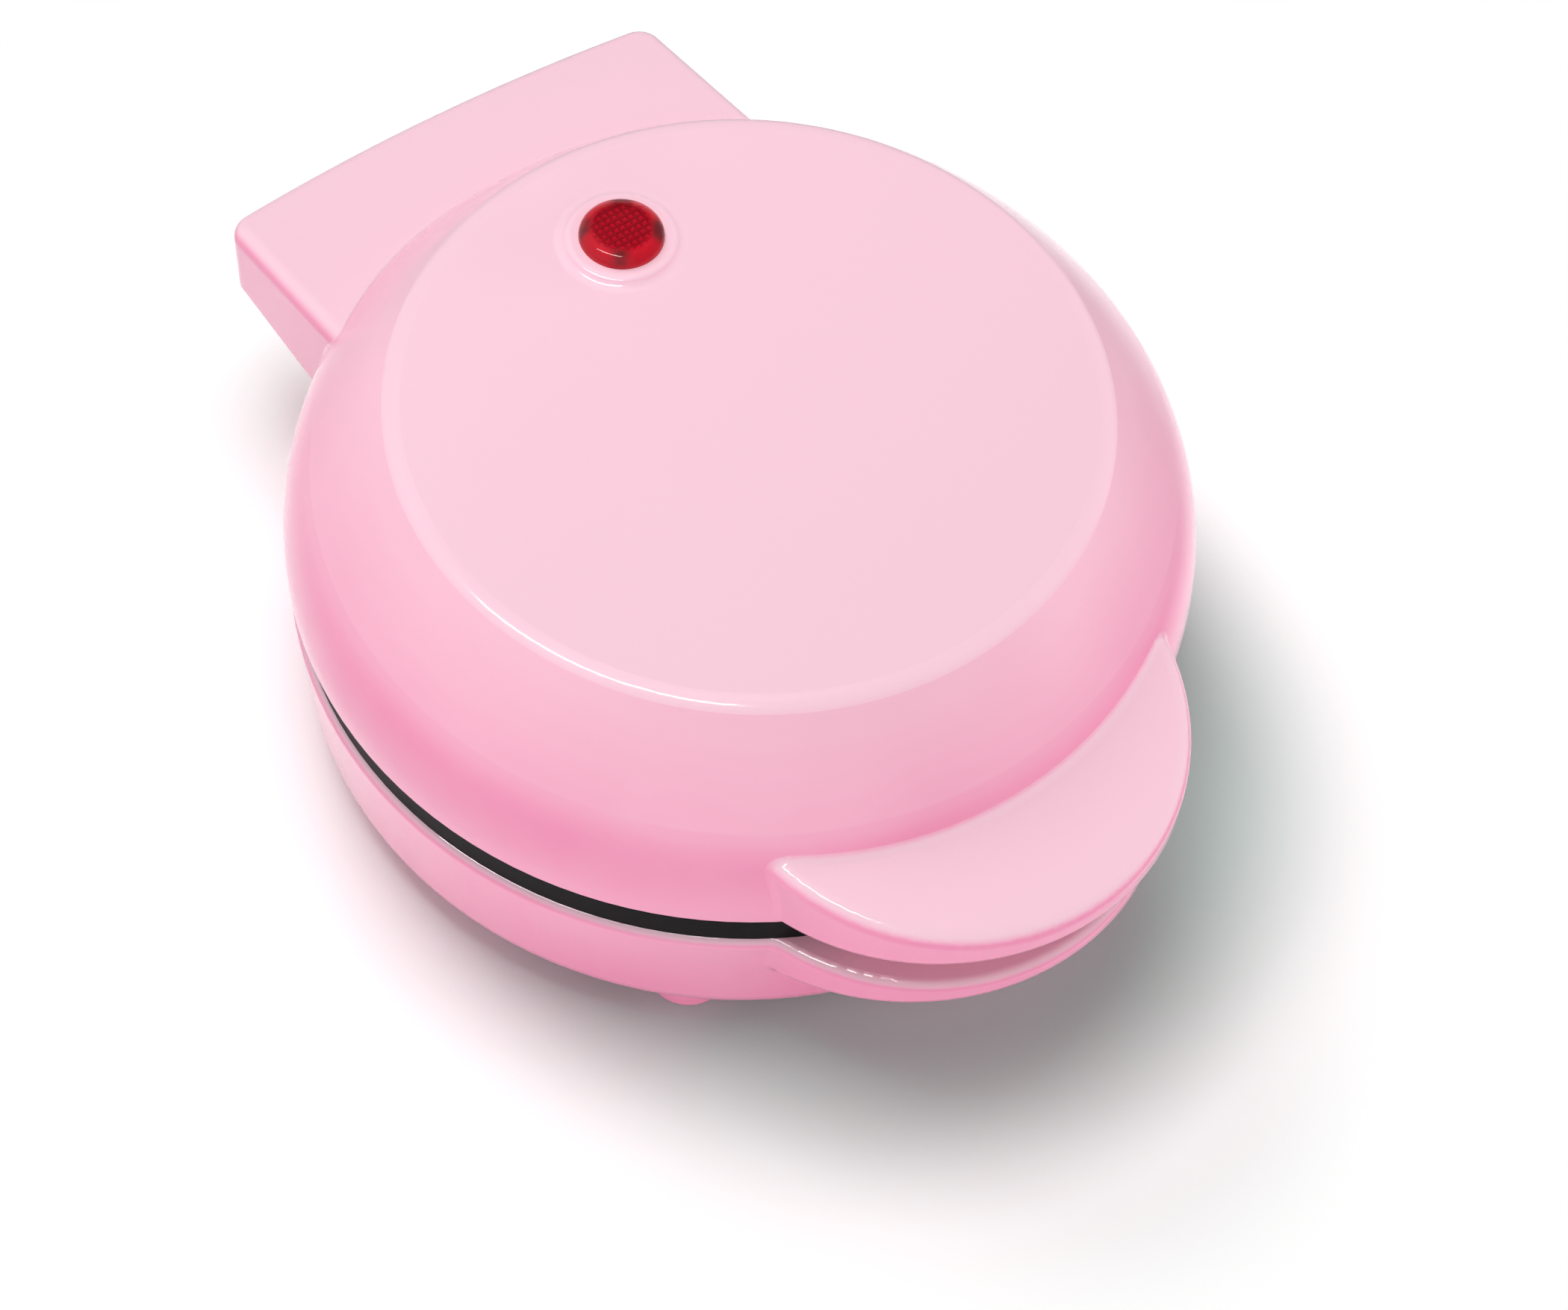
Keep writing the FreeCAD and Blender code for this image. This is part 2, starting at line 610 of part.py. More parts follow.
# Terminal block: three ways, standing on the bowl's floor, as tall as the room under the shield allows
room = tray_low - floor_z
block_h = 0.76 * room
way_r = room / 7
lead_r = way_r * 0.66
lead_z = floor_z + room / 3
block_top = floor_z + block_h
block_y = foot_spots[0][1] + 5.4
terminal_block = box(-15, 15, block_y - 6, block_y + 6, floor_z, block_top)
ways = [-10.0, 0.0, 10.0]
way_holes = [cyl_y(way_r, block_y - 7, block_y + 7, x, lead_z) for x in ways]
way_holes += [cyl(way_r + 0.1, lead_z, block_top + 1, x, block_y) for x in ways]
way_holes += [box(x - 0.5, x + 0.5, block_y - 7, block_y + 7, block_top - 2, block_top + 1) for x in (-5, 5)]
terminal_block = cut(terminal_block, way_holes)
clamps = []
for x in ways:
    clamp = cyl(way_r + 0.05, lead_z + lead_r + 0.1, block_top - 0.4, x, block_y)
    clamps.append(cut(clamp, [box(x - 2, x + 2, block_y - 0.3, block_y + 0.3, block_top - 1, block_top)]))
terminal_screws = Part.makeCompound(clamps)

# Leads in the base, with a sleeved thermal fuse in the left one
lead_x = ways[2]
leg_tip = meet_z - tube_leg
fuse_y = (-8.0, 6.0)
thermal_fuse = cyl_y(0.23 * room, fuse_y[0], fuse_y[1], -lead_x, lead_z)
turn_y = end_y + 9
right_lead = tube([(lead_x, block_y - 5, lead_z), (lead_x, turn_y, lead_z),
                   (end_x, end_y, lead_z), (end_x, end_y, leg_tip)], lead_r, 1.6)
left_front = tube([(-lead_x, fuse_y[0], lead_z), (-lead_x, turn_y, lead_z),
                   (-end_x, end_y, lead_z), (-end_x, end_y, leg_tip)], lead_r, 1.6)
left_back = cyl_y(lead_r, fuse_y[1], block_y - 5, -lead_x, lead_z)
base_wires = Part.makeCompound([right_lead, left_front, left_back])

# Cord inlet: a flanged bush in the back wall of the tail
gland = fuse([cyl_y(gland_r, tail_y - 6.5, tail_y + 2, 0, inlet_z),
              cyl_y(gland_flange_r, tail_y, tail_y + 2, 0, inlet_z),
              cyl_y(gland_r + gland_rib, tail_y - wall - 1.8, tail_y - wall, 0, inlet_z)])
cord_gland = cut(gland, [cyl_y(inlet_r, tail_y - 9, tail_y + 9, 0, inlet_z)])

# Thermostat: a disc switch on the back of the upper plate, with two blades and a screwed flange
back_z = meet_z + back_d
stat_flange = cut(box(-14.5, 14.5, -4, 4, back_z, back_z + 0.8),
                  [cyl(plate_screw[0] + screw_pass, back_z - 1, back_z + 2, x, 0) for x in stat_spots])
blades = [box(x - 2, x + 2, -0.4, 0.4, back_z + 7, back_z + 15) for x in (-4.5, 4.5)]
thermostat = fuse([stat_flange, cyl(8, back_z, back_z + 8)] + blades)
stat_screws = []
for x in stat_spots:
    one = screw(plate_screw, 2.8, 0.0)
    one.rotate(V(0, 0, 0), V(1, 0, 0), 180)
    one.translate(V(x, 0, back_z + 0.8))
    stat_screws.append(one)
thermostat_screws = Part.makeCompound(stat_screws)

# Indicator: red moulded lens with a hollow stem, a push-on clip, a rubber bush and a neon lamp
seat_z = top_z + collar_h
stem_low = tray_z + stem_rise
bore_r = stem_r - stem_wall
crown_z = seat_z + lens_h - 0.45
lens = turned([(0, stem_low), (stem_r, stem_low), (stem_r, seat_z), (lens_r, seat_z), (lens_r, seat_z + 0.5),
               (lens_r - 0.7, seat_z + 1.6), (lens_r - 2.2, crown_z), (0, seat_z + lens_h)], 0, lens_y)
crown = circles_at(lens, seat_z + 1.6, lens_r - 0.7) + circles_at(lens, crown_z, lens_r - 2.2)
lens = lens.makeFillet(1.4, crown)
indicator_lens = cut(lens, [cyl(bore_r, stem_low - 1, seat_z + 0.4, 0, lens_y)])
ceiling = top_z - wall
lens_clip = cut(cyl(9.6, ceiling - 1.2, ceiling, 0, lens_y), [cyl(stem_r + 0.02, 0, top_z, 0, lens_y)])
lamp_low = stem_low - 1.5
lamp_bush = cut(fuse([cyl(bore_r - 0.02, stem_low, stem_low + 3, 0, lens_y),
                      cyl(stem_r, lamp_low, stem_low, 0, lens_y)]),
                [cyl(lamp_r + 0.02, 0, top_z, 0, lens_y)])
lamp_top = seat_z - 2.6
bulb = cyl(lamp_r, lamp_low, lamp_top, 0, lens_y)
neon_lamp = bulb.makeFillet(lamp_r * 0.8, circles_at(bulb, lamp_top, lamp_r))

# Leads in the lid: heater to thermostat, and the rest to a splice block behind the lamp
tip_z = meet_z + tube_leg
run_z = tip_z + 2.0
splice_y = lens_y + 10
splice = box(-14, 9, splice_y, splice_y + 7, tray_z, tray_z + 5.6)
lamp_run = lamp_low - 1.9
lamp_lead_r = 0.6
splice_holes = [cyl_y(lead_r + 0.3, splice_y - 1, splice_y + 8, x, run_z) for x in (-11.5, -8.3)]
splice_holes += [cyl_y(lamp_lead_r + 0.3, splice_y - 1, splice_y + 8, x, lamp_run) for x in (3.0, 5.4)]
lid_splice = cut(splice, splice_holes)
into = splice_y + 1.5
lid_leads = [tube([(end_x, end_y, tip_z), (end_x, end_y, run_z), (4.5, -12, run_z), (4.5, -0.4, run_z)],
                  lead_r, 1.5),
             tube([(-4.5, 0.4, run_z), (-4.5, 5, run_z), (-8.3, 16, run_z), (-8.3, into, run_z)],
                  lead_r, 3.0),
             tube([(-end_x, end_y, tip_z), (-end_x, end_y, run_z), (-11.5, -20, run_z), (-11.5, into, run_z)],
                  lead_r, 1.5)]
for x, out_x in ((-1.2, 3.0), (1.2, 5.4)):
    lid_leads.append(tube([(x, lens_y, lamp_low), (x, lens_y, lamp_run), (out_x, splice_y - 2.5, lamp_run),
                           (out_x, into, lamp_run)], lamp_lead_r, 0.9))
lid_wires = Part.makeCompound(lid_leads)

# Hinge pins, with a push-on clip at each inner end
pin_start = rib_in + rib_t + 0.5 - pin_len
pin = cyl_x(pin_r, pin_start, pin_start + pin_len, pin_y, pin_z)
pin = pin.makeFillet(0.4, [e for e in pin.Edges if isinstance(e.Curve, Part.Circle)])
hinge_pins = Part.makeCompound(both_sides(pin))
clip_ring = cyl_x(pin_r + 1.8, arm_in - 1.2, arm_in - 0.4, pin_y, pin_z)
clip_ring = clip_ring.cut(cyl_x(pin_r + pin_seat, 0, 60, pin_y, pin_z))
pin_clips = Part.makeCompound(both_sides(clip_ring))

pieces = {
    "base_shell": base_shell,
    "lower_bezel": lower_bezel,
    "lower_plate": lower_plate,
    "lower_element": lower_element,
    "lower_element_clips": lower_element_clips,
    "lower_heat_shield": lower_heat_shield,
    "lower_plate_screws": lower_plate_screws,
    "base_screws": base_screws,
    "terminal_block": terminal_block,
    "terminal_screws": terminal_screws,
    "thermal_fuse": thermal_fuse,
    "base_wires": base_wires,
    "cord_gland": cord_gland,
    "lid_shell": lid_shell,
    "upper_bezel": upper_bezel,
    "upper_plate": upper_plate,
    "upper_element": upper_element,
    "upper_element_clips": upper_element_clips,
    "upper_heat_shield": upper_heat_shield,
    "upper_plate_screws": upper_plate_screws,
    "bezel_screws": bezel_screws,
    "thermostat": thermostat,
    "thermostat_screws": thermostat_screws,
    "indicator_lens": indicator_lens,
    "lens_clip": lens_clip,
    "lamp_bush": lamp_bush,
    "neon_lamp": neon_lamp,
    "lid_splice": lid_splice,
    "lid_wires": lid_wires,
    "hinge_pins": hinge_pins,
    "pin_clips": pin_clips,
}

os.makedirs("parts", exist_ok=True)
for name, shape in pieces.items():
    shape.exportStep("parts/" + name + ".step")
    size = shape.BoundBox
    print(name, shape.isValid(), len(shape.Solids), round(shape.Volume),
          [round(v, 1) for v in (size.XMin, size.XMax, size.YMin, size.YMax, size.ZMin, size.ZMax)])
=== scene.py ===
import math

import bpy
from mathutils import Matrix, Vector


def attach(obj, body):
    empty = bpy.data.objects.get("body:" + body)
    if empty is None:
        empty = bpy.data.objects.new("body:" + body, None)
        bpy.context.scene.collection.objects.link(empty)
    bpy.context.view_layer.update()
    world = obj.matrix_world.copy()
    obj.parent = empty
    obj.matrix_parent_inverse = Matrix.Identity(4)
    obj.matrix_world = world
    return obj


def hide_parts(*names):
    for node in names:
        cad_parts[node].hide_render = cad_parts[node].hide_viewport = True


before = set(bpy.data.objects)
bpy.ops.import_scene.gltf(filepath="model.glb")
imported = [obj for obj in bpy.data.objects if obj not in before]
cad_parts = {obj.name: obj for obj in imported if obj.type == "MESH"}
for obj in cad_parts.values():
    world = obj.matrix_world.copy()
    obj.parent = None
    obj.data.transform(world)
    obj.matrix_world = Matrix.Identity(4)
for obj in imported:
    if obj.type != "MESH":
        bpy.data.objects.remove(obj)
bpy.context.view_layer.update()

# The bowl of the base and the lid are glossy pink mouldings in one plastic, with four feet on the
# bowl. Its colour is painted paler where it faces up, a painted sheen of the light overhead, and
# deeper on its flanks, a painted shade. It is grained on the underside, where the tool was left
# rough.
PINK_LIT_TOP = (0.930, 0.590, 0.695, 1)
PINK_SHADED_FLANK = (0.910, 0.262, 0.458, 1)
PINK_STREAK = (0.935, 0.600, 0.705, 1)
PINK_GLOSS = 0.55
PLASTIC_IOR = 1.49


class Shade:
    # One value in a material; arithmetic on it adds the material's own Math nodes
    def __init__(self, tree, socket=None):
        self.tree = tree
        self.socket = socket

    def node(self, kind, settings=None, sockets=None, output=0):
        made = self.tree.nodes.new(kind)
        for name, setting in (settings or {}).items():
            setattr(made, name, setting)
        for name, value in (sockets or {}).items():
            if isinstance(value, Shade):
                self.tree.links.new(value.socket, made.inputs[name])
            else:
                made.inputs[name].default_value = value
        return Shade(self.tree, made.outputs[output] if made.outputs else None)

    def maths(self, operation, first, second=0.0):
        return self.node("ShaderNodeMath", {"operation": operation}, {0: first, 1: second})

    def __add__(self, other):
        return self.maths("ADD", self, other)

    __radd__ = __add__

    def __mul__(self, other):
        return self.maths("MULTIPLY", self, other)

    __rmul__ = __mul__

    def __sub__(self, other):
        return self.maths("SUBTRACT", self, other)

    def __rsub__(self, other):
        return self.maths("SUBTRACT", other, self)

    def place(self):
        return self.node("ShaderNodeTexCoord", output="Object")

    def moved(self, offset):
        return self.node("ShaderNodeMapping", sockets={"Vector": self.place(), "Location": offset})

    def axis(self, vector, name):
        return self.node("ShaderNodeSeparateXYZ", sockets={0: vector}, output=name)

    def length(self, vector):
        return self.node("ShaderNodeVectorMath", {"operation": "LENGTH"}, {0: vector}, output="Value")

    def facing(self):
        # How far the surface looks up, from -1 below to 1 on top
        return self.axis(self.node("ShaderNodeTexCoord", output="Normal"), "Z")

    def noise(self, scale, detail=2.0, rough=0.5, at=None):
        return self.node("ShaderNodeTexNoise", sockets={
            "Vector": self.place() if at is None else at,
            "Scale": scale, "Detail": detail, "Roughness": rough})

    def between(self, value, start, end):
        # A soft step from 0 at start to 1 at end
        return self.node("ShaderNodeMapRange", {"interpolation_type": "SMOOTHSTEP"}, {
            "Value": value, "From Min": start, "From Max": end})

    def mix(self, share, first, second):
        return self.node("ShaderNodeMix", {"data_type": "RGBA"}, {
            0: share, 6: first, 7: second}, output=2)

    def bump(self, height, strength, distance):
        return self.node("ShaderNodeBump", sockets={
            "Height": height, "Strength": strength, "Distance": distance})


def new_finish(name):
    material = bpy.data.materials.new(name)
    material.use_nodes = True
    material.node_tree.nodes.clear()
    return material, Shade(material.node_tree)


def lay_on(shade, sockets):
    # The surface itself, joined to the material's output
    surface = shade.node("ShaderNodeBsdfPrincipled", sockets=sockets)
    shade.node("ShaderNodeOutputMaterial", sockets={"Surface": surface})


def dress(material, *names):
    for name in names:
        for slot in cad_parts[name].material_slots:
            slot.material = material


pink, shade = new_finish("pink_plastic")
facing = shade.facing()
flank_shade = shade.between(facing, start=0.85, end=0.36)
under = shade.between(facing, start=-0.75, end=-0.95)
flow = shade.between(shade.noise(scale=26.0, detail=3.0), start=0.35, end=0.75)
peel = shade.noise(scale=900.0, detail=1.0)
grain = shade.noise(scale=3200.0)
smear = shade.between(shade.noise(scale=55.0, detail=4.0, rough=0.6), start=0.45, end=0.75)
# Painted light: paler where the surface faces up and deeper on its flanks, by its facing alone.
pink_lit_and_shaded = shade.mix(flank_shade, PINK_LIT_TOP, PINK_SHADED_FLANK)
lay_on(shade, {
    "Base Color": shade.mix(flow * 0.16, pink_lit_and_shaded, PINK_STREAK),
    "Roughness": 0.18 + smear * 0.05 + under * 0.35,
    "Coat Weight": PINK_GLOSS - under * PINK_GLOSS,
    "Coat Roughness": 0.05,
    "IOR": PLASTIC_IOR,
    "Normal": shade.bump(peel * 0.12 + grain * under, strength=0.10, distance=0.0002),
})
dress(pink, "base_shell", "lid_shell")

# Screws and pins are plated steel, turned and rolled, so they shine along their turning. Four screws
# go up through the feet, and the rest hold the plates, the upper bezel and the thermostat. The lid
# turns on the two pins, each kept in by a push-on clip.
STEEL = (0.640, 0.640, 0.655, 1)
STEEL_DULL = (0.430, 0.425, 0.420, 1)
TURNING_SCALE = (300, 300, 9000)

plated, shade = new_finish("plated_steel")
tarnish = shade.between(shade.noise(scale=420.0, detail=4.0, rough=0.6), start=0.42, end=0.72)
lathe = shade.node("ShaderNodeMapping", sockets={"Vector": shade.place(), "Scale": TURNING_SCALE})
turning = shade.noise(scale=1.0, at=lathe)
lay_on(shade, {
    "Base Color": shade.mix(tarnish * 0.6, STEEL, STEEL_DULL),
    "Metallic": 1.0,
    "Roughness": 0.24 + tarnish * 0.16,
    "Normal": shade.bump(turning, strength=0.08, distance=0.0001),
})
dress(plated, "base_screws", "lower_plate_screws", "upper_plate_screws", "bezel_screws",
      "thermostat_screws", "hinge_pins", "pin_clips")

# The cord's inlet is a black rubber bush, pushed into the tail of the base from behind. The lamp is
# held in the lens by a bush of the same rubber.
RUBBER = (0.018, 0.018, 0.019, 1)
RUBBER_BLOOM = (0.050, 0.048, 0.046, 1)

rubber, shade = new_finish("black_rubber")
bloom = shade.between(shade.noise(scale=160.0, detail=5.0, rough=0.62), start=0.45, end=0.8)
lay_on(shade, {
    "Base Color": shade.mix(bloom * 0.5, RUBBER, RUBBER_BLOOM),
    "Roughness": 0.62 + bloom * 0.16,
    "Normal": shade.bump(shade.noise(scale=2600.0), strength=0.22, distance=0.0002),
})
dress(rubber, "cord_gland", "lamp_bush")

# The mains leads end in a white nylon block with brass clamp screws, which stands on the floor of
# the bowl. A second block, in the lid, joins the leads of the heater, the thermostat and the lamp.
NYLON = (0.800, 0.785, 0.730, 1)
NYLON_AGED = (0.700, 0.650, 0.540, 1)
BRASS = (0.780, 0.570, 0.250, 1)
BRASS_DULL = (0.460, 0.320, 0.150, 1)

nylon, shade = new_finish("white_nylon")
ageing = shade.between(shade.noise(scale=90.0, detail=4.0), start=0.4, end=0.8)
lay_on(shade, {
    "Base Color": shade.mix(ageing * 0.5, NYLON, NYLON_AGED),
    "Roughness": 0.46 + ageing * 0.1,
    "Normal": shade.bump(shade.noise(scale=1800.0), strength=0.1, distance=0.0002),
})
dress(nylon, "terminal_block", "lid_splice")

brass, shade = new_finish("turned_brass")
stain = shade.between(shade.noise(scale=600.0, detail=4.0), start=0.45, end=0.75)
lay_on(shade, {
    "Base Color": shade.mix(stain * 0.6, BRASS, BRASS_DULL),
    "Metallic": 1.0,
    "Roughness": 0.28 + stain * 0.2,
})
dress(brass, "terminal_screws")

# The leads inside are sleeved in braided glass, which stands the heat. The thermal fuse lies in the
# left lead of the base, under a thicker braid of the same yarn.
BRAID = (0.790, 0.770, 0.710, 1)
BRAID_GAP = (0.520, 0.490, 0.430, 1)
BRAID_TURNS = 7000.0

braid, shade = new_finish("glass_braid")
along = shade.axis(shade.place(), "Y")
across = shade.axis(shade.place(), "X")
strand = (shade.maths("SINE", (along + across) * BRAID_TURNS)
          * shade.maths("SINE", (along - across) * BRAID_TURNS))
weave = shade.between(strand, start=-0.4, end=0.5)
lay_on(shade, {
    "Base Color": shade.mix(weave, BRAID_GAP, BRAID),
    "Roughness": 0.82 - weave * 0.12,
    "Normal": shade.bump(weave, strength=0.4, distance=0.0002),
})
dress(braid, "thermal_fuse", "base_wires", "lid_wires")

# The two cooking plates are cast aluminium under a dark non-stick coat, sprayed on, so it has a fine
# fleck and a soft orange peel. Oil baked on it has browned it a little in patches.
COAT_DARK = (0.026, 0.026, 0.028, 1)
COAT_FLECK = (0.150, 0.150, 0.155, 1)
COAT_BROWN = (0.040, 0.030, 0.022, 1)

coating, shade = new_finish("non_stick_coat")
fleck = shade.between(shade.noise(scale=2300.0, rough=0.7), start=0.66, end=0.74)
baked = shade.between(shade.noise(scale=48.0, detail=5.0, rough=0.65), start=0.48, end=0.78)
sprayed = shade.noise(scale=700.0)
coat_colour = shade.mix(baked * 0.45, COAT_DARK, COAT_BROWN)
lay_on(shade, {
    "Base Color": shade.mix(fleck * 0.55, coat_colour, COAT_FLECK),
    "Roughness": 0.34 + baked * 0.14 - fleck * 0.06,
    "Normal": shade.bump(sprayed + fleck * 0.3, strength=0.16, distance=0.0002),
})
dress(coating, "lower_plate", "upper_plate")

# Each plate has a steel-sheathed heating tube behind it, straw coloured from its own heat. Pressed
# clips of plated sheet strap it down, under a tray of the same sheet. The lens's push-on clip is
# pressed from it too.
SHEATH = (0.330, 0.315, 0.300, 1)
SHEATH_STRAW = (0.360, 0.250, 0.140, 1)
SHEET = (0.600, 0.605, 0.615, 1)
SHEET_DULL = (0.420, 0.425, 0.435, 1)
SPANGLE_SCALE = 180.0

sheath, shade = new_finish("heater_sheath")
heat = shade.between(shade.noise(scale=70.0, detail=4.0, rough=0.6), start=0.4, end=0.75)
lay_on(shade, {
    "Base Color": shade.mix(heat, SHEATH, SHEATH_STRAW),
    "Metallic": 1.0,
    "Roughness": 0.36 + heat * 0.2,
    "Normal": shade.bump(shade.noise(scale=1500.0), strength=0.1, distance=0.0001),
})
dress(sheath, "lower_element", "upper_element")

sheet, shade = new_finish("plated_sheet")
crystals = shade.node("ShaderNodeTexVoronoi", sockets={
    "Vector": shade.place(), "Scale": SPANGLE_SCALE}, output="Color")
spangle = shade.node("ShaderNodeSeparateColor", sockets={0: crystals})
rolled = shade.noise(scale=900.0, detail=3.0)
lay_on(shade, {
    "Base Color": shade.mix(spangle * 0.5, SHEET, SHEET_DULL),
    "Metallic": 1.0,
    "Roughness": 0.30 + spangle * 0.12 + rolled * 0.08,
    "Normal": shade.bump(rolled, strength=0.05, distance=0.0001),
})
dress(sheet, "lower_element_clips", "upper_element_clips", "lower_heat_shield",
      "upper_heat_shield", "lens_clip")

# The bezels are rings of black heat-proof plastic round the plates, moulded with a satin grain. The
# lower one stands in the seam between the bowl and the lid.
BEZEL_BLACK = (0.0050, 0.0050, 0.0052, 1)
BEZEL_WORN = (0.014, 0.014, 0.014, 1)

bezel, shade = new_finish("black_bezel")
rubbed = shade.between(shade.noise(scale=140.0, detail=5.0, rough=0.6), start=0.5, end=0.8)
lay_on(shade, {
    "Base Color": shade.mix(rubbed * 0.6, BEZEL_BLACK, BEZEL_WORN),
    "Roughness": 0.40 + rubbed * 0.1,
    "Specular IOR Level": 0.04,
    "Normal": shade.bump(shade.noise(scale=3400.0), strength=0.14, distance=0.0002),
})
dress(bezel, "lower_bezel", "upper_bezel")

# The thermostat is a disc switch with a body of brown phenolic, speckled by its filler. It is
# screwed by its flange to the back of the upper plate.
PHENOLIC = (0.070, 0.040, 0.028, 1)
PHENOLIC_FILL = (0.130, 0.085, 0.060, 1)

phenolic, shade = new_finish("brown_phenolic")
filler = shade.between(shade.noise(scale=1200.0, detail=4.0, rough=0.7), start=0.5, end=0.7)
lay_on(shade, {
    "Base Color": shade.mix(filler * 0.5, PHENOLIC, PHENOLIC_FILL),
    "Roughness": 0.42 + filler * 0.12,
})
dress(phenolic, "thermostat")

# The neon lamp is a small glass envelope, unlit, in a faintly amber glass that has smoked a little.
# It stands under the lens, in a bush at the foot of the lens's stem.
LAMP_GLASS = (0.930, 0.830, 0.720, 1)
LAMP_SMOKE = (0.640, 0.520, 0.420, 1)
GLASS_IOR = 1.5

lamp_glass, shade = new_finish("lamp_glass")
smoke = shade.between(shade.noise(scale=500.0, detail=3.0), start=0.4, end=0.8)
lay_on(shade, {
    "Base Color": shade.mix(smoke, LAMP_GLASS, LAMP_SMOKE),
    "Roughness": 0.04 + smoke * 0.08,
    "Transmission Weight": 0.8,
    "IOR": GLASS_IOR,
})
dress(lamp_glass, "neon_lamp")

# The indicator's lens is one clear red moulding, a low dome on a hollow stem that goes down through
# the lid's collar to its clip. The rim is solid outside the bore, so it is deeper there, and it is
# painted darkest in four soft lobes, a painted shade. Its sizes are in millimetres from its seat on
# the collar.
MM = 0.001
LENS_PLACE = Vector((0, 37.4 * MM, 76.4 * MM))
LENS_SIDES = 96
BORE_R = 5.5
BORE_TOP = 1.5
STEM_R = 6.45
STEM_FOOT = -10.3
LENS_RINGS = [
    (BORE_R, STEM_FOOT), (STEM_R, STEM_FOOT), (STEM_R, 0.0), (7.10, 0.0), (7.05, 0.35),
    (6.95, 0.80), (6.66, 1.30), (6.20, 1.78), (5.55, 2.18), (4.60, 2.52), (3.40, 2.77),
    (2.00, 2.93), (0.80, 2.99),
]
SMOOTH_ANGLE = math.radians(40)
LENS_RED = (0.700, 0.001, 0.018, 1)
LENS_LOBE_SHADE = (0.120, 0.000, 0.004, 1)
LOBE_COUNT = 4.0
LOBE_TURN = 2.53


def start_piece(name):
    piece = bpy.context.object
    piece.name = name
    piece.data.name = name
    return piece


def raised(height):
    # A point on the lens's own axis, in millimetres above its seat
    return LENS_PLACE + Vector((0, 0, height * MM))


bpy.ops.object.select_all(action="DESELECT")
bpy.ops.mesh.primitive_circle_add(vertices=LENS_SIDES, radius=BORE_R * MM, fill_type="NOTHING",
                                  location=raised(BORE_TOP))
lens = start_piece("red_lens")
bpy.ops.object.mode_set(mode="EDIT")
bpy.ops.mesh.select_mode(type="EDGE")
bpy.ops.mesh.select_all(action="SELECT")
last_r, last_z = BORE_R, BORE_TOP
for ring_r, ring_z in LENS_RINGS:
    rise = (0, 0, (ring_z - last_z) * MM)
    spread = ring_r / last_r
    bpy.ops.mesh.extrude_edges_move(TRANSFORM_OT_translate={"value": rise})
    bpy.ops.transform.resize(value=(spread, spread, 1), center_override=raised(ring_z))
    last_r, last_z = ring_r, ring_z
bpy.ops.mesh.edge_face_add()
bpy.ops.mesh.select_all(action="DESELECT")
bpy.ops.mesh.select_non_manifold()
bpy.ops.mesh.edge_face_add()
bpy.ops.mesh.select_all(action="SELECT")
bpy.ops.mesh.normals_make_consistent(inside=False)
bpy.ops.object.mode_set(mode="OBJECT")
bpy.ops.object.transform_apply(location=True, rotation=True, scale=True)
bpy.ops.object.shade_smooth_by_angle(angle=SMOOTH_ANGLE)

red, shade = new_finish("red_lens")
from_seat = shade.moved(-LENS_PLACE)
bearing = shade.maths("ARCTAN2", shade.axis(from_seat, "Y"), shade.axis(from_seat, "X"))
lobes = shade.maths("COSINE", (bearing - LOBE_TURN) * LOBE_COUNT)
cloud = shade.noise(scale=260.0, detail=1.0, at=from_seat)
# Painted shade: the rim is darkened in four soft lobes, broken up by a cloud and lighter at its outer
# edge.
lobe_shade = shade.between(lobes * 0.8 + cloud * 2.0, start=0.8, end=2.1)
out = shade.length(from_seat)
rim = shade.between(out, start=5.0 * MM, end=6.0 * MM)
edge = shade.between(out, start=6.8 * MM, end=7.1 * MM)
lay_on(shade, {
    "Base Color": shade.mix(lobe_shade * rim * (0.95 - edge * 0.5), LENS_RED, LENS_LOBE_SHADE),
    "Roughness": 0.03 + lobe_shade * 0.02,
    "Alpha": 0.20 + rim * 0.50 + lobe_shade * rim * 0.20,
    "IOR": PLASTIC_IOR,
    "Specular IOR Level": 0.4,
})
lens.data.materials.append(red)
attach(lens, "lid")
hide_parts("indicator_lens")

# A thin disc of small pyramids lies up in the lens's bore, over the lamp, in the same red plastic. It
# is cut round from a square grid, and it shows through the dome as a pattern of diamonds. Its grooves
# are painted dark and its peaks red, a painted shade.
GRID_PITCH = 1.2
GRID_CELLS = 10
GRID_R = 5.4
GRID_LOW = 0.45
GRID_BASE = 0.75
GRID_PEAK = 1.45
PUNCH_DEPTH = 6.0
GRID_RED = (0.800, 0.004, 0.036, 1)
GRID_GROOVE_SHADE = (0.060, 0.000, 0.001, 1)

bpy.ops.object.select_all(action="DESELECT")
bpy.ops.mesh.primitive_grid_add(x_subdivisions=GRID_CELLS, y_subdivisions=GRID_CELLS,
                                size=GRID_PITCH * GRID_CELLS * MM, location=raised(GRID_BASE))
prisms = start_piece("lens_prisms")
bpy.ops.object.mode_set(mode="EDIT")
bpy.ops.mesh.select_mode(type="FACE")
bpy.ops.mesh.select_all(action="SELECT")
bpy.ops.mesh.poke(offset=(GRID_PEAK - GRID_BASE) * MM)
sink = (0, 0, (GRID_LOW - GRID_BASE) * MM)
bpy.ops.mesh.extrude_region_move(TRANSFORM_OT_translate={"value": sink})
bpy.ops.transform.resize(value=(1, 1, 0), center_override=raised(GRID_LOW))
bpy.ops.mesh.select_all(action="SELECT")
bpy.ops.mesh.normals_make_consistent(inside=False)
bpy.ops.object.mode_set(mode="OBJECT")
bpy.ops.object.transform_apply(location=True, rotation=True, scale=True)

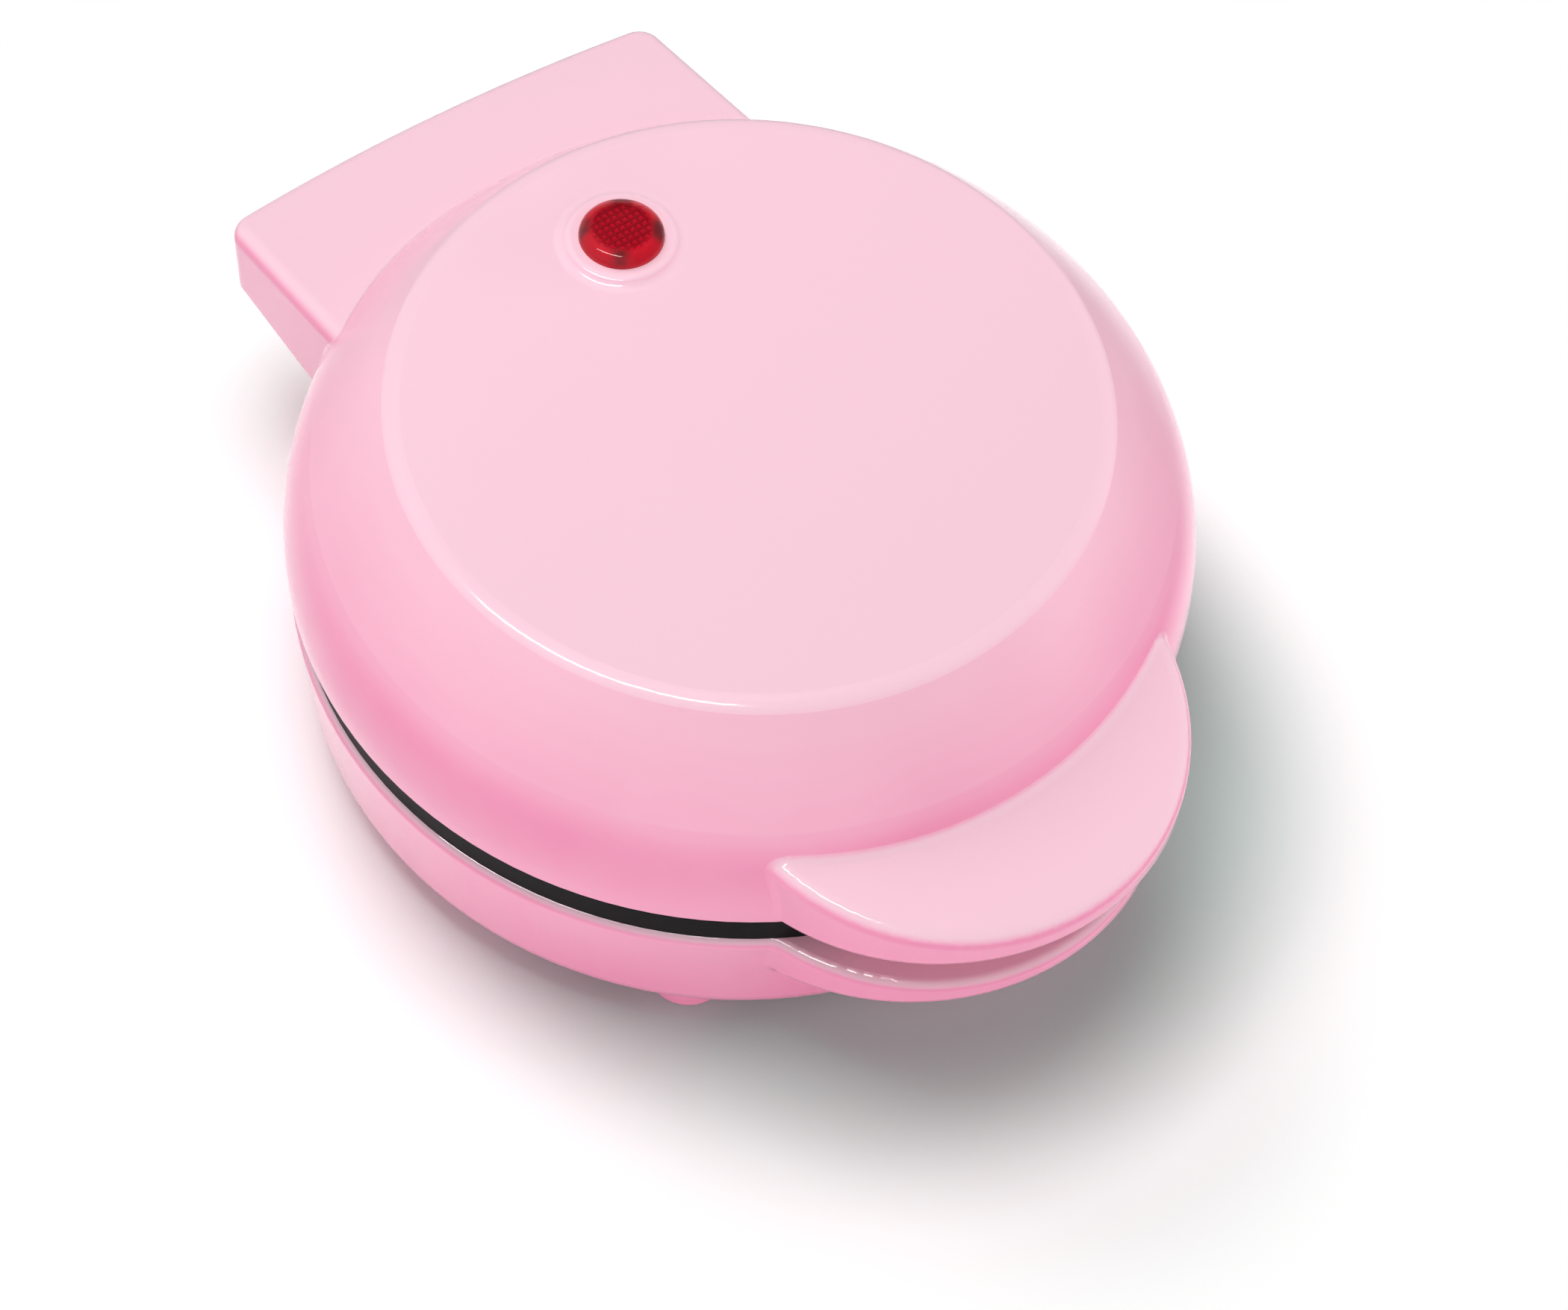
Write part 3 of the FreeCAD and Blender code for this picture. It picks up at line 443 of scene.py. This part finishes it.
bpy.ops.object.select_all(action="DESELECT")
bpy.ops.mesh.primitive_cylinder_add(vertices=LENS_SIDES, radius=GRID_R * MM,
                                    depth=PUNCH_DEPTH * MM, location=LENS_PLACE)
punch = start_piece("grid_punch")
bpy.context.view_layer.objects.active = prisms
trim = prisms.modifiers.new("round", "BOOLEAN")
trim.operation = "INTERSECT"
trim.solver = "EXACT"
trim.object = punch
bpy.ops.object.modifier_apply(modifier=trim.name)
bpy.data.objects.remove(punch)

grid_red, shade = new_finish("lens_grid")
height = shade.axis(shade.place(), "Z")
# Painted shade: the grid is painted dark low down and red at its peaks, by height alone.
lit_peaks = shade.between(height, start=raised(GRID_BASE).z, end=raised(GRID_PEAK).z)
tint = shade.noise(scale=900.0)
lay_on(shade, {
    "Base Color": shade.mix(lit_peaks * (0.7 + tint * 0.5), GRID_GROOVE_SHADE, GRID_RED),
    "Roughness": 0.30 + tint * 0.1,
    "Specular IOR Level": 0.1,
})
prisms.data.materials.append(grid_red)
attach(prisms, "lid")

# The table is a pale sheet that keeps the lamps' shadow. Round the object its colour is painted
# darker, a painted shadow, and tinted green-grey to take out the pink light that the plastic throws
# on it; further off it is white to the camera. Mirror rays see the same table, dimmer at the right.
TABLE_SIZE = 12.0
TABLE_PALE = (0.88, 0.88, 0.88, 1)
PAINTED_SHADOW_NEAR = (0.46, 0.65, 0.585, 1)
PINK_LIGHT_COUNTERTINT = (1.035, 1.072, 1.058, 1)
PAINTED_SHADOW_SHIFT = (-0.008, 0.033, 0)
WHITE = (1, 1, 1, 1)
BLACK = (0, 0, 0, 1)
MIRROR_RIGHT = 0.38


def mirror_white(left):
    # How white a mirror ray sees the set, dim at the right and full at the left
    return MIRROR_RIGHT + left * (1 - MIRROR_RIGHT)


bpy.ops.object.select_all(action="DESELECT")
bpy.ops.mesh.primitive_plane_add(size=TABLE_SIZE, location=(0, 0, 0))
table = start_piece("table")

table_white, shade = new_finish("table_white")
to_camera = shade.node("ShaderNodeLightPath", output="Is Camera Ray")
to_mirror = shade.node("ShaderNodeLightPath", output="Is Glossy Ray")
shown = shade.maths("MAXIMUM", to_camera, to_mirror)
table_left = shade.between(shade.axis(shade.place(), "X"), start=0.10, end=-0.20)
glow = shade.maths("MAXIMUM", to_camera, to_mirror * mirror_white(table_left))
far = shade.between(shade.length(shade.place()), start=0.12, end=0.20)
# Painted shadow: the table is painted darker near the object and tinted against its pink light.
off = shade.between(shade.length(shade.moved(PAINTED_SHADOW_SHIFT)), start=0.053, end=0.091)
painted_shadow = shade.mix(off, PAINTED_SHADOW_NEAR, PINK_LIGHT_COUNTERTINT)
plain = shade.node("ShaderNodeBsdfDiffuse", sockets={"Color": shade.mix(shown, TABLE_PALE, painted_shadow)})
bright = shade.node("ShaderNodeEmission", sockets={
    "Color": shade.mix(glow, BLACK, WHITE), "Strength": 1.0})
blended = shade.node("ShaderNodeMixShader", sockets={0: far * shown, 1: plain, 2: bright})
shade.node("ShaderNodeOutputMaterial", sockets={"Surface": blended})
table.data.materials.append(table_white)

# A pale wall of light stands all round the set and lights the object softly. It is plain white to
# the camera and through glass, and mirror rays see it dimmer at the right, as they do the table.
WALL_LIGHT = 0.22

world = bpy.data.worlds.new("studio")
bpy.context.scene.world = world
world.use_nodes = True
world.node_tree.nodes.clear()
shade = Shade(world.node_tree)
to_camera = shade.node("ShaderNodeLightPath", output="Is Camera Ray")
to_mirror = shade.node("ShaderNodeLightPath", output="Is Glossy Ray")
through = shade.node("ShaderNodeLightPath", output="Is Transmission Ray")
aside = shade.axis(shade.node("ShaderNodeTexCoord", output="Generated"), "X")
wall_left = shade.between(aside, start=0.20, end=-0.55)
mirrored = shade.maths("MAXIMUM", to_mirror * mirror_white(wall_left), through)
backdrop = shade.maths("MAXIMUM", to_camera, mirrored)
soft = shade.node("ShaderNodeBackground", sockets={"Color": WHITE, "Strength": WALL_LIGHT})
white = shade.node("ShaderNodeBackground", sockets={"Color": WHITE, "Strength": 1.0})
wall = shade.node("ShaderNodeMixShader", sockets={0: backdrop, 1: soft, 2: white})
shade.node("ShaderNodeOutputWorld", sockets={"Surface": wall})

# The lamps are soft panels: a key behind, which lays the shadow to the front, a wide one overhead,
# and three low ones at the left, front and right. A narrow strip shows only in the gloss, as the
# bright line along the edge of the lid's top.
LAMP_AIM = Vector((0, 0, 0.05))
GLOSS_LAMP = "strip"
LAMPS = [
    # name, where it stands, width and depth in metres, watts, turn in degrees
    ("key", (-0.05, 0.60, 0.76), 0.50, 0.30, 2.6, 0),
    ("panel", (-0.03, 0.10, 0.88), 0.45, 0.45, 3.85, 0),
    ("strip", (-0.38, -0.035, 0.744), 0.67, 0.05, 2.4, 24),
    ("left", (-0.82, 0.15, 0.16), 0.70, 0.26, 1.20, 0),
    ("front", (-0.42, -0.75, 0.17), 0.90, 0.30, 2.70, 0),
    ("right", (0.76, -0.42, 0.15), 0.70, 0.26, 3.4, 0),
]
for name, stand, width, depth, watts, turn in LAMPS:
    data = bpy.data.lights.new(name, "AREA")
    data.shape = "RECTANGLE"
    data.size = width
    data.size_y = depth
    data.energy = watts
    lamp = bpy.data.objects.new(name, data)
    lamp.location = stand
    lamp.visible_glossy = name == GLOSS_LAMP
    lamp.visible_diffuse = name != GLOSS_LAMP
    lamp.rotation_euler = (LAMP_AIM - Vector(stand)).to_track_quat("-Z", "Y").to_euler()
    lamp.rotation_euler.rotate_axis("Z", math.radians(turn))
    bpy.context.scene.collection.objects.link(lamp)

# The camera stands at the front left, well above the lid, where the photograph was taken from. Its
# place, its axes and its lens were fitted to the rings of the lid.
CAMERA_RIGHT = (0.81733593, -0.57337169, 0.05662938)
CAMERA_UP = (0.4606871, 0.70938849, 0.53341856)
CAMERA_BACK = (-0.34601933, -0.40989373, 0.84395364)
CAMERA_PLACE = (-0.205863, -0.258611, 0.519222)
CAMERA_LENS = 79.54
CAMERA_SENSOR = 36.0

camera_data = bpy.data.cameras.new("camera")
camera_data.lens = CAMERA_LENS
camera_data.sensor_width = CAMERA_SENSOR
camera = bpy.data.objects.new("camera", camera_data)
camera_axes = Matrix((CAMERA_RIGHT, CAMERA_UP, CAMERA_BACK)).transposed()
camera.matrix_world = Matrix.Translation(CAMERA_PLACE) @ camera_axes.to_4x4()
bpy.context.scene.collection.objects.link(camera)
bpy.context.scene.camera = camera
bpy.context.scene.view_settings.view_transform = "Standard"
